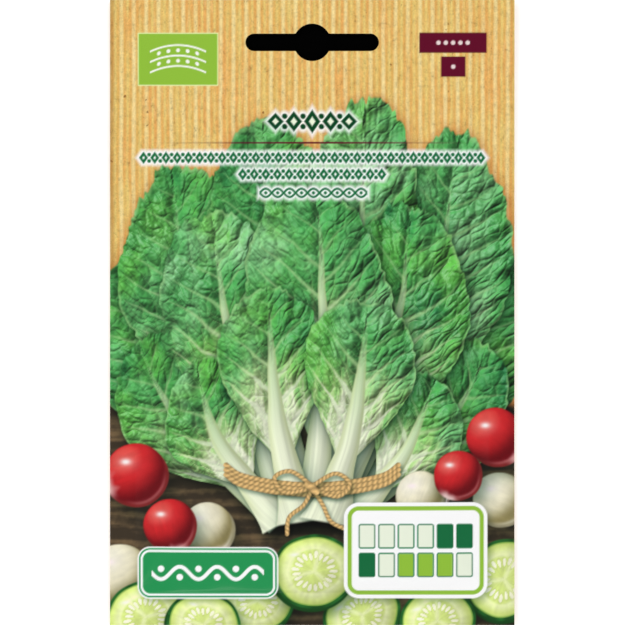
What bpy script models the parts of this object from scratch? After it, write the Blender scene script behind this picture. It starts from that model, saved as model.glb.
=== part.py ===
"""Seed packet lying on its back: two paper webs sealed round a pocket, a hang slot, and the seeds.

X runs across the packet, +Y points to the header with the hang slot, and the front faces +Z.
The origin is the middle of the packet's underside.
"""

import math
import random

import bmesh
import bpy
import numpy as np
from mathutils import Matrix, Vector

MM = 0.001

# Packet outline
WIDTH = 97.0 * MM
HEIGHT = 150.0 * MM

# Paper webs
WEB_THICKNESS = 0.2 * MM
SEAL_GAP = 0.3 * MM
SEAL_LIFT = 0.6 * MM

# Pocket between the seals
SIDE_SEAL = 6.0 * MM
BOTTOM_SEAL = 8.0 * MM
HEADER = 22.0 * MM
POCKET_RISE = 2.7 * MM
CROWN_POWER = 2.2
DEEPEST_AT = 0.62
DEPTH_POWER = 0.8
RESTING_FULLNESS = 0.3

# Hang slot through both webs
SLOT_WIDTH = 32.0 * MM
SLOT_ARM_HEIGHT = 4.2 * MM
SLOT_CIRCLE_RADIUS = 4.5 * MM
SLOT_BELOW_TOP = 10.2 * MM
SLOT_ARC_STEPS = 8
SLOT_CIRCLE_STEPS = 10
CUTTER_REACH = 4.0 * MM

# Grid of the webs
FRONT_CELLS = (22, 30)
BACK_CELLS = (14, 20)

# One seed: its rings' places along the half length, and their shares of its width
SEED_LENGTH = 2.9 * MM
SEED_WIDTH = 1.5 * MM
SEED_THICKNESS = 1.2 * MM
SEED_SIDES = 3
SEED_RINGS = ((-0.25, 0.68), (1.0, 1.0))

# The heap of seeds, its place and outline as shares of the pocket
SEED_COUNT = 330
SEED_TILT = 12.0
HEAP_AT = 0.36
HEAP_HALF_LENGTH = 0.2
HEAP_HALF_WIDTH = 0.47
HEAP_RINGS = 4
HEAP_SECTORS = 24
HEAP_RIM = 0.9 * MM
HEAP_CLEARANCE = 1.25 * MM
HEAP_FLOOR_GAP = 0.3 * MM
HEAP_WANDER = 0.04
DRAW_SEED = 9

# Colours of the paper and of the seeds
FRONT_COLOUR = (0.68, 0.44, 0.14)
BACK_COLOUR = (0.66, 0.46, 0.2)
SEED_COLOUR = (0.36, 0.24, 0.13)

POCKET_HALF_WIDTH = WIDTH / 2 - SIDE_SEAL
POCKET_BOTTOM = -HEIGHT / 2 + BOTTOM_SEAL
POCKET_TOP = HEIGHT / 2 - HEADER
POCKET_LENGTH = POCKET_TOP - POCKET_BOTTOM
SLOT_Y = HEIGHT / 2 - SLOT_BELOW_TOP


def fullness(x, y):
    """How far the pocket stands open: 0 at the seals and 1 where the seeds lie deepest."""
    across = 1 - np.clip(np.abs(x) / POCKET_HALF_WIDTH, 0, 1) ** CROWN_POWER
    along = np.clip((y - POCKET_BOTTOM) / POCKET_LENGTH, 0, 1)
    return across * np.clip(np.sin(np.pi * along**DEEPEST_AT), 0, 1) ** DEPTH_POWER


def front_height(x, y):
    """Underside of the front web: level at the seals, and crowned over the pocket."""
    return SEAL_LIFT + WEB_THICKNESS + SEAL_GAP + POCKET_RISE * fullness(x, y)


def back_height(x, y):
    """Underside of the back web: flat on the table under the pocket, rising smoothly to the seals."""
    rest = np.clip(fullness(x, y) / RESTING_FULLNESS, 0, 1)
    return SEAL_LIFT * (1 - rest * rest * (3 - 2 * rest))


def paper_material(name, colour):
    """Uncoated kraft paper."""
    material = bpy.data.materials.new(name)
    material.use_nodes = True
    shader = material.node_tree.nodes["Principled BSDF"]
    shader.inputs["Base Color"].default_value = (*colour, 1.0)
    shader.inputs["Roughness"].default_value = 0.8
    shader.inputs["Metallic"].default_value = 0.0
    return material


def seed_material():
    """Dry pale brown seed coat."""
    material = bpy.data.materials.new("seed_coat")
    material.use_nodes = True
    shader = material.node_tree.nodes["Principled BSDF"]
    shader.inputs["Base Color"].default_value = (*SEED_COLOUR, 1.0)
    shader.inputs["Roughness"].default_value = 0.6
    shader.inputs["Metallic"].default_value = 0.0
    return material


def new_object(name, vertices, faces, material=None):
    """A mesh object in the scene, its faces pointing as the lists give them."""
    mesh = bpy.data.meshes.new(name)
    mesh.from_pydata([tuple(v) for v in vertices], [], faces)
    mesh.validate()
    thing = bpy.data.objects.new(name, mesh)
    bpy.context.scene.collection.objects.link(thing)
    if material is not None:
        mesh.materials.append(material)
    return thing


def grid_lines(cells, low, pocket_low, pocket_high, high):
    """Edge, seal line, even pocket lines, seal line and edge, in one direction."""
    pocket = np.linspace(pocket_low, pocket_high, cells + 1)
    return np.concatenate(([low], pocket, [high]))


def web(name, cells, height, material):
    """A paper web: a grid of triangles at the height given, and the same grid a thickness higher."""
    xs = grid_lines(cells[0], -WIDTH / 2, -POCKET_HALF_WIDTH, POCKET_HALF_WIDTH, WIDTH / 2)
    ys = grid_lines(cells[1], -HEIGHT / 2, POCKET_BOTTOM, POCKET_TOP, HEIGHT / 2)
    columns = len(xs)
    rows = len(ys)
    x, y = np.meshgrid(xs, ys)
    z = height(x, y)
    under = np.stack((x, y, z), axis=-1).reshape(-1, 3)
    over = under + (0, 0, WEB_THICKNESS)
    above = columns * rows
    faces = []
    for j in range(rows - 1):
        for i in range(columns - 1):
            a = j * columns + i
            b = a + 1
            c = b + columns
            d = a + columns
            faces += [(a, c, b), (a, d, c)]
            faces += [(a + above, b + above, c + above), (a + above, c + above, d + above)]
    bottom_edge = list(range(columns))
    right_edge = [j * columns + columns - 1 for j in range(1, rows)]
    top_edge = [(rows - 1) * columns + i for i in range(columns - 2, -1, -1)]
    left_edge = [j * columns for j in range(rows - 2, 0, -1)]
    edge = bottom_edge + right_edge + top_edge + left_edge
    for k, a in enumerate(edge):
        b = edge[(k + 1) % len(edge)]
        faces.append((a, b, b + above, a + above))
    panel = new_object(name, np.concatenate((under, over)), faces, material)
    panel.data.shade_smooth()
    panel.data.set_sharp_from_angle(angle=math.radians(40))
    return panel


def arc(centre, radius, start, end, steps):
    """Points along an arc, its angles in degrees, counted anticlockwise from +X."""
    angles = np.radians(np.linspace(start, end, steps + 1))
    return [(centre[0] + radius * math.cos(a), centre[1] + radius * math.sin(a)) for a in angles]


def slot_outline():
    """The hang slot: two round-ended arms with a circle at their middle."""
    arm_radius = SLOT_ARM_HEIGHT / 2
    arm_end = SLOT_WIDTH / 2 - arm_radius
    join = math.degrees(math.asin(arm_radius / SLOT_CIRCLE_RADIUS))
    right = arc((arm_end, SLOT_Y), arm_radius, -90, 90, SLOT_ARC_STEPS)
    upper = arc((0, SLOT_Y), SLOT_CIRCLE_RADIUS, join, 180 - join, SLOT_CIRCLE_STEPS)
    left = arc((-arm_end, SLOT_Y), arm_radius, 90, 270, SLOT_ARC_STEPS)
    lower = arc((0, SLOT_Y), SLOT_CIRCLE_RADIUS, 180 + join, 360 - join, SLOT_CIRCLE_STEPS)
    return right + upper + left + lower


def slot_cutter():
    """A prism of the slot's outline that reaches past both webs, hidden from the render."""
    outline = slot_outline()
    count = len(outline)
    low = [(x, y, -CUTTER_REACH) for x, y in outline]
    high = [(x, y, CUTTER_REACH) for x, y in outline]
    faces = [tuple(reversed(range(count))), tuple(range(count, 2 * count))]
    for a in range(count):
        b = (a + 1) % count
        faces.append((a, b, b + count, a + count))
    cutter = new_object("slot_cutter", low + high, faces)
    cutter.hide_render = True
    cutter.display_type = "WIRE"
    return cutter


def cut_slot(panel, cutter):
    """The die-cut through one web."""
    cut = panel.modifiers.new("hang_slot", "BOOLEAN")
    cut.operation = "DIFFERENCE"
    cut.object = cutter


def seed_mesh():
    """One angular seed along +X: a point at one end, widening to a blunt flat crown at the other."""
    half = SEED_LENGTH / 2
    vertices = [(-half, 0, 0)]
    for along, share in SEED_RINGS:
        for k in range(SEED_SIDES):
            turn = 2 * math.pi * k / SEED_SIDES
            y = share * SEED_WIDTH / 2 * math.cos(turn)
            z = share * SEED_THICKNESS / 2 * math.sin(turn)
            vertices.append((along * half, y, z))
    crown = tuple(range(1 + SEED_SIDES, 1 + 2 * SEED_SIDES))
    faces = [crown]
    for k in range(SEED_SIDES):
        a = 1 + k
        b = 1 + (k + 1) % SEED_SIDES
        faces.append((0, b, a))
        faces.append((a, b, b + SEED_SIDES, a + SEED_SIDES))
    mesh = bpy.data.meshes.new("seed")
    mesh.from_pydata(vertices, [], faces)
    return mesh


def heap_point(share, angle):
    """A point of the heap's plan: share 0 at its middle and 1 on its slightly wandering outline."""
    wander = 1 + HEAP_WANDER * (np.sin(3 * angle + 1) + 0.6 * np.sin(7 * angle))
    x = HEAP_HALF_WIDTH * POCKET_HALF_WIDTH * share * wander * np.cos(angle)
    y = HEAP_HALF_LENGTH * POCKET_LENGTH * share * wander * np.sin(angle)
    return x, y + POCKET_BOTTOM + HEAP_AT * POCKET_LENGTH


def heap_height(share, angle):
    """Top of the heap's body: a rounded rim that rises to follow the front web from below."""
    x, y = heap_point(share, angle)
    room = front_height(x, y) - HEAP_CLEARANCE
    rim = WEB_THICKNESS + HEAP_FLOOR_GAP + HEAP_RIM
    return rim + np.maximum(room - rim, 0) * (1 - share**4)


def heap_body():
    """The packed middle of the heap, on a polar grid: domed above and flat below."""
    floor = WEB_THICKNESS + HEAP_FLOOR_GAP
    middle_y = POCKET_BOTTOM + HEAP_AT * POCKET_LENGTH
    vertices = [(0, middle_y, floor), (0, middle_y, float(heap_height(0.0, 0.0)))]
    for ring in range(1, HEAP_RINGS + 1):
        share = math.sin(math.pi / 2 * ring / HEAP_RINGS)
        for sector in range(HEAP_SECTORS):
            angle = 2 * math.pi * sector / HEAP_SECTORS
            x, y = heap_point(share, angle)
            vertices.append((x, y, float(heap_height(share, angle))))
    rim_start = len(vertices) - HEAP_SECTORS
    for x, y, _ in vertices[rim_start:]:
        vertices.append((x, y, floor))
    faces = []
    for sector in range(HEAP_SECTORS):
        following = (sector + 1) % HEAP_SECTORS
        faces.append((1, 2 + sector, 2 + following))
        for ring in range(HEAP_RINGS):
            a = 2 + ring * HEAP_SECTORS + sector
            b = 2 + ring * HEAP_SECTORS + following
            faces += [(a, a + HEAP_SECTORS, b + HEAP_SECTORS), (a, b + HEAP_SECTORS, b)]
        a = rim_start + HEAP_SECTORS + sector
        b = rim_start + HEAP_SECTORS + following
        faces.append((0, b, a))
    return new_object("seeds", vertices, faces)


def scatter_seeds(material):
    """Seeds in a sunflower spiral over the heap, each half sunk and turned at random."""
    draw = random.Random(DRAW_SEED)
    collection = bpy.data.collections.new("loose_seeds")
    bpy.context.scene.collection.children.link(collection)
    mesh = seed_mesh()
    mesh.materials.append(material)
    golden_angle = math.pi * (3 - math.sqrt(5))
    for k in range(SEED_COUNT):
        share = math.sqrt((k + 0.5) / SEED_COUNT)
        angle = k * golden_angle
        x, y = heap_point(share, angle)
        z = float(heap_height(share, angle))
        turn = Matrix.Rotation(draw.uniform(0, 2 * math.pi), 4, "Z")
        tilt = Matrix.Rotation(math.radians(draw.uniform(-SEED_TILT, SEED_TILT)), 4, "Y")
        roll = Matrix.Rotation(draw.uniform(0, 2 * math.pi), 4, "X")
        seed = bpy.data.objects.new(f"seed_{k:03d}", mesh)
        seed.matrix_world = Matrix.Translation(Vector((x, y, z))) @ turn @ tilt @ roll
        collection.objects.link(seed)
    return collection


def join_heap(heap, collection):
    """One union of the heap with all its seeds, applied, with the single seeds then removed."""
    union = heap.modifiers.new("fuse_seeds", "BOOLEAN")
    union.operation = "UNION"
    union.operand_type = "COLLECTION"
    union.collection = collection
    union.solver = "MANIFOLD"
    bpy.context.view_layer.update()
    evaluated = heap.evaluated_get(bpy.context.evaluated_depsgraph_get())
    joined = bpy.data.meshes.new_from_object(evaluated)
    heap.modifiers.remove(union)
    heap.data = joined
    for seed in list(collection.objects):
        bpy.data.objects.remove(seed)
    bpy.data.collections.remove(collection)


def drop_scraps(thing):
    """Keeps the largest connected body of a mesh, so that nothing loose stays in its node."""
    work = bmesh.new()
    work.from_mesh(thing.data)
    unseen = set(work.verts)
    bodies = []
    while unseen:
        found = {unseen.pop()}
        edge_of_search = list(found)
        while edge_of_search:
            vertex = edge_of_search.pop()
            for edge in vertex.link_edges:
                other = edge.other_vert(vertex)
                if other in unseen:
                    unseen.remove(other)
                    found.add(other)
                    edge_of_search.append(other)
        bodies.append(found)
    bodies.sort(key=len)
    for scrap in bodies[:-1]:
        bmesh.ops.delete(work, geom=list(scrap), context="VERTS")
    work.to_mesh(thing.data)
    work.free()


def seeds():
    """The heap of loose seeds in the pocket."""
    material = seed_material()
    heap = heap_body()
    heap.data.materials.append(material)
    join_heap(heap, scatter_seeds(material))
    drop_scraps(heap)
    return heap


def clear_scene():
    """Removes what the new file starts with."""
    for thing in list(bpy.data.objects):
        bpy.data.objects.remove(thing)


def main():
    clear_scene()
    cutter = slot_cutter()
    front = web("front_panel", FRONT_CELLS, front_height, paper_material("printed_paper", FRONT_COLOUR))
    back = web("back_panel", BACK_CELLS, back_height, paper_material("back_paper", BACK_COLOUR))
    cut_slot(front, cutter)
    cut_slot(back, cutter)
    seeds()


main()
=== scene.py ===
import math

import bpy
import numpy as np
from bpy.props import FloatProperty, FloatVectorProperty, IntProperty, PointerProperty
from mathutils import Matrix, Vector


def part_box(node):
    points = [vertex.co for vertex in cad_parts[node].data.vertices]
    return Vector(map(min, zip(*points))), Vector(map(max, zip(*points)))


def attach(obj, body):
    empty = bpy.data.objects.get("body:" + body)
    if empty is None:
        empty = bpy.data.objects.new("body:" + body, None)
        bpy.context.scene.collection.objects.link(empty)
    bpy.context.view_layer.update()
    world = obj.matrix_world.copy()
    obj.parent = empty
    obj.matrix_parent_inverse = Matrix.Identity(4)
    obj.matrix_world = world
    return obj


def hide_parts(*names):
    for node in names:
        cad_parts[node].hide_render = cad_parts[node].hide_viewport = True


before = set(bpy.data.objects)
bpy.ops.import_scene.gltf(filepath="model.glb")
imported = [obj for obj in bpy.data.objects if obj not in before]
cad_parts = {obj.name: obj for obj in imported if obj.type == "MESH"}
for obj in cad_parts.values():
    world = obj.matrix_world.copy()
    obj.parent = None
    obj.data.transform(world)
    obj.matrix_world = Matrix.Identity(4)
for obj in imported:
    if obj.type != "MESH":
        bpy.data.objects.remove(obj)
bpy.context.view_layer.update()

bl_info = {
    "name": "Seed Packet Dressing",
    "version": (1, 0, 0),
    "blender": (4, 5, 0),
    "location": "View3D > Sidebar > Packet",
    "description": "Dresses the solid seed packet with printed kraft paper webs, seeds and a studio stage",
    "category": "Object",
}

MM = 0.001
PACKET_LOW, PACKET_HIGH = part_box("front_panel")
WIDTH = PACKET_HIGH.x - PACKET_LOW.x
HEIGHT = PACKET_HIGH.y - PACKET_LOW.y
SHARP_FROM = math.radians(45)
RING_STEPS = 14
BACK_SHARE = 0.51
SHOW_STRIP = (0, 0.94)
BACK_STRIP = (0.95, 0.975)
EDGE_STRIP = (0.98, 0.987)
SLOT_STRIP = (0.992, 0.999)
SLOT_ROOM_X = 2.5 * MM
SLOT_ROOM_Y = 2.0 * MM
EVEN = (1.0, 1.0, 1.0)
WHITE = np.ones(3)
SHADOW_INK = np.array((0.95, 0.8, 0.85))


def length(name, about, millimetres):
    """A length property, given in millimetres and kept in metres."""
    metres = millimetres * MM
    return FloatProperty(name=name, description=about, default=metres, subtype="DISTANCE", unit="LENGTH")


def number(name, about, default):
    """A plain number property."""
    return FloatProperty(name=name, description=about, default=default)


def ink(name, about, red, green, blue):
    """A display colour property, given in the 0 to 255 steps of a screen."""
    shades = (red / 255, green / 255, blue / 255)
    return FloatVectorProperty(name=name, description=about, default=shades, subtype="COLOR_GAMMA", size=3)


class PacketShape(bpy.types.PropertyGroup):
    """Sizes of the two webs, the pocket and the hang slot."""

    side_seal: length("Side seal", "Width of the seal down each side", 6.0)
    bottom_seal: length("Bottom seal", "Height of the seal along the bottom", 8.0)
    header: length("Header", "Height of the sealed header that the slot is cut in", 22.0)
    web: length("Web", "Thickness of one paper web", 0.2)
    bond: length("Bond", "Gap between the webs where they are sealed", 0.01)
    seal_lift: length("Seal lift", "Height of the seals over the surface below", 0.6)
    slot_width: length("Slot width", "Length of the hang slot, end to end", 32.0)
    slot_arm: length("Slot arm", "Height of the slot's arms", 4.2)
    slot_radius: length("Slot circle", "Radius of the circle at the slot's middle", 4.5)
    slot_drop: length("Slot drop", "Distance of the slot's middle below the top edge", 10.2)
    pucker: length("Pucker", "Height of the small waves along the seals", 0.2)
    crease: length("Crease", "Height of the creases at the pocket's corners", 0.4)
    lump: length("Lump", "Height of the seeds' lumps through the paper", 0.035)
    curl: length("Curl", "How far the header's corners lift", 0.45)
    sway: length("Sway", "Height of the slow waves along the side seals", 0.13)
    crown_power: number("Crown", "How flat the pocket's crown is", 3.2)
    deepest_at: number("Deepest at", "Power that sets where the seeds lie", 0.62)
    depth_power: number("Depth", "How full the pocket's ends are", 0.8)
    resting: number("Resting", "Fullness at which the back meets the table", 0.3)
    cells: IntProperty(name="Cells", description="Double cells across the printed web", default=220)
    tiles: IntProperty(name="Tiles", description="Pieces that the printed web is meshed in", default=4)


class PacketInks(bpy.types.PropertyGroup):
    """Display colours of the paper and of the print."""

    tan: ink("Tan", "Body of the ribbed kraft paper", 221, 178, 95)
    cream: ink("Cream", "Pale lines of the ribbed kraft paper", 242, 222, 158)
    rust: ink("Rust", "Darker orange streaks of the kraft paper", 229, 166, 92)
    straw: ink("Straw", "Yellow streaks of the kraft paper", 229, 200, 117)
    # The same brown is also laid along the paper's two cut sides as painted shade, in kraft.
    speck_and_edge_shade: ink("Speck", "Bark specks in the kraft paper", 128, 76, 30)
    lime: ink("Lime", "Green panel and outlines", 146, 193, 61)
    cream_line: ink("Cream line", "Thin pale outlines", 232, 246, 176)
    maroon: ink("Maroon", "Maroon bars and rule", 97, 5, 38)
    deep: ink("Deep green", "Darkest green of the printed ornaments", 2, 66, 32)
    border: ink("Border", "Green of the small ornaments", 20, 108, 62)
    badge: ink("Badge", "Green of the banner", 36, 150, 84)
    leaf_dark: ink("Leaf shade", "Leaf in shade", 14, 84, 50)
    leaf_mid: ink("Leaf", "Leaf body", 66, 146, 74)
    leaf_light: ink("Leaf light", "Leaf in light", 134, 188, 132)
    leaf_fresh: ink("Leaf fresh", "Yellow green of young leaf", 92, 170, 62)
    sheen: ink("Sheen", "Haze of light on the leaves", 204, 230, 214)
    vein: ink("Vein", "Veins and margins of the leaves", 158, 204, 134)
    heart: ink("Heart", "Yellow green near the stalks", 204, 219, 143)
    stalk: ink("Stalk", "Pale stalks and ribs", 228, 234, 206)
    root: ink("Root", "Red root skin", 204, 38, 42)
    root_dark: ink("Root shade", "Red root skin in shade", 104, 12, 20)
    root_light: ink("Root light", "Red root skin in light", 236, 104, 90)
    bulb: ink("Bulb", "Cream bulb skin", 238, 232, 204)
    bulb_dark: ink("Bulb shade", "Cream bulb skin in shade", 138, 128, 84)
    bulb_light: ink("Bulb light", "Cream bulb skin in light", 255, 252, 235)
    skin: ink("Skin", "Dark green skin of the slices", 33, 92, 38)
    flesh: ink("Flesh", "Pale flesh of the slices", 227, 235, 176)
    flesh_dark: ink("Flesh shade", "Richer flesh of the slices", 199, 217, 117)
    twine: ink("Twine", "Twine round the bunch", 204, 168, 110)
    board: ink("Board", "Dark wooden board", 62, 52, 40)
    board_light: ink("Board grain", "Lighter grain of the board", 120, 98, 70)


def shape():
    """The packet's sizes."""
    return bpy.context.scene.packet_shape


def inks():
    """The packet's colours."""
    return bpy.context.scene.packet_inks


def smooth(low, high, value):
    """0 below low, 1 above high, and a smooth cubic between them; low may be the larger."""
    t = unit((value - low) / (high - low))
    return t * t * (3 - 2 * t)


def unit(value):
    """The value kept from 0 to 1."""
    return np.clip(value, 0, 1)


def hill(value, width):
    """A smooth hill round 0: e to the power of minus the square of value over width."""
    return np.exp(-((value / width) ** 2))


def noise(x, y, seed):
    """Value noise: random numbers on a lattice, with smooth steps between them, from -1 to 1."""
    table = np.random.RandomState(seed).uniform(-1, 1, (64, 64))
    i = np.floor(x).astype(int)
    j = np.floor(y).astype(int)
    u = smooth(0, 1, x - i)
    v = smooth(0, 1, y - j)
    i, j, i_next, j_next = i % 64, j % 64, (i + 1) % 64, (j + 1) % 64
    low = table[i, j] * (1 - u) + table[i_next, j] * u
    high = table[i, j_next] * (1 - u) + table[i_next, j_next] * u
    return low * (1 - v) + high * v


def fractal(x, y, seed, octaves=4):
    """Noise summed over octaves, each twice as fine and half as strong as the last."""
    total = 0
    for k in range(octaves):
        total = total + noise(x * 2**k + 7.3 * k, y * 2**k + 3.1 * k, seed + k) * 0.5**k
    return total / 1.6


def cells(x, y, seed):
    """Distances to the nearest and the second nearest of points scattered one to each lattice square."""
    table = np.random.RandomState(seed).uniform(0.08, 0.92, (2, 64, 64))
    i = np.floor(x).astype(int)
    j = np.floor(y).astype(int)
    first = np.full(x.shape, 9.0)
    second = np.full(x.shape, 9.0)
    for di in (-1, 0, 1):
        for dj in (-1, 0, 1):
            a, b = (i + di) % 64, (j + dj) % 64
            away = np.hypot(i + di + table[0][a, b] - x, j + dj + table[1][a, b] - y)
            second = np.minimum(second, np.maximum(first, away))
            first = np.minimum(first, away)
    return first, second


def mix(a, b, share):
    """Colour a where share is 0 and b where it is 1."""
    return a + (b - a) * share[..., None]


def fullness(x, y):
    """How far the pocket stands open: a crown across, times a sine along that leans to the bottom."""
    s = shape()
    half = WIDTH / 2 - s.side_seal
    low = -HEIGHT / 2 + s.bottom_seal
    across = 1 - unit(np.abs(x) / half) ** s.crown_power
    along = unit((y - low) / (HEIGHT - s.bottom_seal - s.header))
    return across * unit(np.sin(np.pi * along**s.deepest_at)) ** s.depth_power


def warp(x, y):
    """How far both webs leave their plane: the header's corners lift with the square of their distance
    from the middle, and slow waves run along the side seals."""
    s = shape()
    half = WIDTH / 2 - s.side_seal
    rise = smooth(HEIGHT / 2 - s.header, HEIGHT / 2, y)
    corners = s.curl * (2 * x / WIDTH) ** 2 * rise + 0.12 * MM * rise * np.sin(x / (19 * MM) + 0.6)
    sealed = smooth(half - 3 * MM, half + 4 * MM, np.abs(x))
    return corners + s.sway * sealed * np.sin(y / (10.5 * MM) + 2.1 * np.sign(x))


def seal_waves(run, side, pitch, drift, seed):
    """Waves along a seal, whose pitch and strength drift differently on each of two sides."""
    drifting = np.sin(run / pitch + 3 * noise(run / drift, side * 2.5, seed))
    return drifting * (0.65 + 0.35 * noise(run / (7 * MM), side * 4.5, seed + 1))


def puckers(x, y):
    """Small waves along the seals, which fade into the pocket, and creases that run in from its corners."""
    s = shape()
    from_side = WIDTH / 2 - s.side_seal - np.abs(x)
    from_end = np.minimum(y + HEIGHT / 2 - s.bottom_seal, HEIGHT / 2 - s.header - y)
    inside = smooth(0, 2.5 * MM, from_side) * smooth(0, 2.5 * MM, from_end)
    side_waves = np.exp(-unit(from_side) / (6 * MM)) * seal_waves(y, np.sign(x), 1.7 * MM, 15 * MM, 11)
    end_waves = np.exp(-unit(from_end) / (7 * MM)) * seal_waves(x, np.sign(y), 1.9 * MM, 13 * MM, 13)
    turn = np.arctan2(from_end, np.maximum(from_side, 1e-6))
    reach = np.hypot(from_side, from_end)
    fold = hill(turn - 0.75, 0.16) - 0.6 * hill(turn - 1.05, 0.14)
    folds = s.crease * fold * smooth(0, 6 * MM, reach) * np.exp(-reach / (16 * MM))
    return inside * (s.pucker * (side_waves + end_waves) + folds)


def lumps(x, y):
    """The heap of seeds felt through the paper: fine noise where the pocket is full."""
    s = shape()
    filled = smooth(0.45, 0.85, fullness(x, y)) * smooth(22 * MM, 2 * MM, y)
    grain = noise(x / (1.5 * MM), y / (1.7 * MM), 17) + 0.6 * noise(x / (3.3 * MM), y / (3.1 * MM), 19)
    return s.lump * filled * grain


def back_under(x, y):
    """Underside of the back web: flat on the table under the pocket, lifting to the seals and the header."""
    s = shape()
    rest = smooth(0, s.resting, fullness(x, y))
    return s.seal_lift * (1 - rest) + warp(x, y)


def back_over(x, y):
    """Inner side of the back web."""
    return back_under(x, y) + shape().web


def front_under(x, y):
    """Inner side of the front web: bonded to the back web along the seals, crowned and puckered elsewhere,
    and pressed on the back web where a pucker would pass through it."""
    s = shape()
    full = fullness(x, y)
    room = PACKET_HIGH.z - s.seal_lift - 2 * s.web - s.bond - s.pucker - 2 * s.lump
    opening = room * full + s.seal_lift * smooth(0, s.resting, full) + puckers(x, y) + lumps(x, y)
    return back_over(x, y) + s.bond + np.maximum(opening, 0)


def front_over(x, y):
    """Printed side of the front web."""
    return front_under(x, y) + shape().web


def slot_rim(points):
    """The point of the slot's outline that faces each point round it, seen from the slot's middle line."""
    s = shape()
    middle = HEIGHT / 2 - s.slot_drop
    arm = s.slot_arm / 2
    end = s.slot_width / 2 - arm
    x, y = points[:, 0], points[:, 1] - middle
    foot = np.clip(x, -end, end)
    dx, dy = x - foot, y
    far = np.maximum(np.hypot(dx, dy), 1e-9)
    tall = np.sqrt(np.clip(s.slot_radius**2 - foot**2, 0, None))
    reach = np.where(np.abs(x) < end, np.maximum(arm, tall), arm)
    return np.stack((foot + dx / far * reach, middle + dy / far * reach), axis=-1)


def perimeter(index):
    """The outer indices of a grid of them, anticlockwise from its lower left corner."""
    return np.concatenate((index[0, :-1], index[:-1, -1], index[-1, :0:-1], index[:0:-1, 0]))


def flat_sheet(xs, ys, ring_steps, hole):
    """A flat grid of quads. Round the hole, a box of the grid gives way to rings that close in on the
    slot: each is a straight blend between the box's rim and the slot's outline."""
    index = np.arange(len(xs) * len(ys)).reshape(len(ys), len(xs))
    points = np.stack(np.meshgrid(xs, ys), axis=-1).reshape(-1, 2)
    quads = np.stack((index[:-1, :-1], index[:-1, 1:], index[1:, 1:], index[1:, :-1]), axis=-1)
    outer = perimeter(index)
    if hole is None:
        return points, quads.reshape(-1, 4), outer, None
    i0, i1, j0, j1 = hole
    kept = np.ones(quads.shape[:2], bool)
    kept[j0:j1, i0:i1] = False
    rim = perimeter(index[j0 : j1 + 1, i0 : i1 + 1])
    steps = np.linspace(0, 1, ring_steps + 1)[1:, None, None]
    rings = points[rim] * (1 - steps) + slot_rim(points[rim]) * steps
    ring_index = len(points) + np.arange(ring_steps * len(rim)).reshape(ring_steps, -1)
    ring_index = np.vstack((rim, ring_index))
    following = np.roll(ring_index, -1, axis=1)
    bands = np.stack((ring_index[:-1], following[:-1], following[1:], ring_index[1:]), axis=-1)
    points = np.concatenate((points, rings.reshape(-1, 2)))
    quads = np.concatenate((quads[kept], bands.reshape(-1, 4)))
    used = np.unique(quads)
    place = np.full(len(points), -1)
    place[used] = np.arange(len(used))
    return points[used], place[quads], place[outer], place[ring_index[-1]]


def wall(fine, coarse):
    """Triangles between a loop of the fine side and the matching loop, half as dense, of the other side.
    Their places in a strip go with them: how far round, and 0 on the coarse loop or 1 on the fine one."""
    top = [fine[0::2], fine[1::2], np.roll(fine, -1)[1::2]]
    low = [coarse, None, np.roll(coarse, -1)]
    along = np.arange(len(coarse))
    spot = {(k, side): np.stack((along + k / 2, 0.0 * along + side), -1) for k in range(3) for side in (0, 1)}
    corners = (((0, 0), (1, 1), (0, 1)), ((0, 0), (2, 0), (1, 1)), ((2, 0), (2, 1), (1, 1)))
    faces = [np.stack([(top if side else low)[k] for k, side in three], -1) for three in corners]
    places = [np.stack([spot[corner] for corner in three], 1) for three in corners]
    return np.concatenate(faces), np.concatenate(places) / (len(coarse), 1)


def backwards(loop):
    """The same loop the other way round, from the same start."""
    return np.roll(loop[::-1], 1)


def mesh_object(name, points, groups, charts, materials):
    """A mesh piece from its points and groups of faces, each with its chart of map places and its own
    material."""
    mesh = bpy.data.meshes.new(name)
    sizes = np.concatenate([np.full(len(g), g.shape[1]) for g in groups])
    corners = np.concatenate([g.reshape(-1) for g in groups])
    mesh.vertices.add(len(points))
    mesh.vertices.foreach_set("co", points.astype(np.float32).ravel())
    mesh.loops.add(len(corners))
    mesh.loops.foreach_set("vertex_index", corners.astype(np.int32))
    mesh.polygons.add(len(sizes))
    mesh.polygons.foreach_set("loop_start", (np.cumsum(sizes) - sizes).astype(np.int32))
    for material in materials:
        mesh.materials.append(material)
    slots = np.concatenate([np.full(len(g), min(k, len(materials) - 1)) for k, g in enumerate(groups)])
    mesh.polygons.foreach_set("material_index", slots.astype(np.int32))
    mesh.update(calc_edges=True)
    places = np.concatenate([chart.reshape(-1, 2) for chart in charts])
    mesh.uv_layers.new(name="OFBake").uv.foreach_set("vector", places.astype(np.float32).ravel())
    mesh.shade_smooth()
    mesh.set_sharp_from_angle(angle=SHARP_FROM)
    piece = bpy.data.objects.new(name, mesh)
    bpy.context.scene.collection.objects.link(piece)
    return piece


def strip(places, low, high):
    """Map places from 0 to 1 moved into a level strip of the map."""
    return places * (1, high - low) + (0, low)


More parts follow.
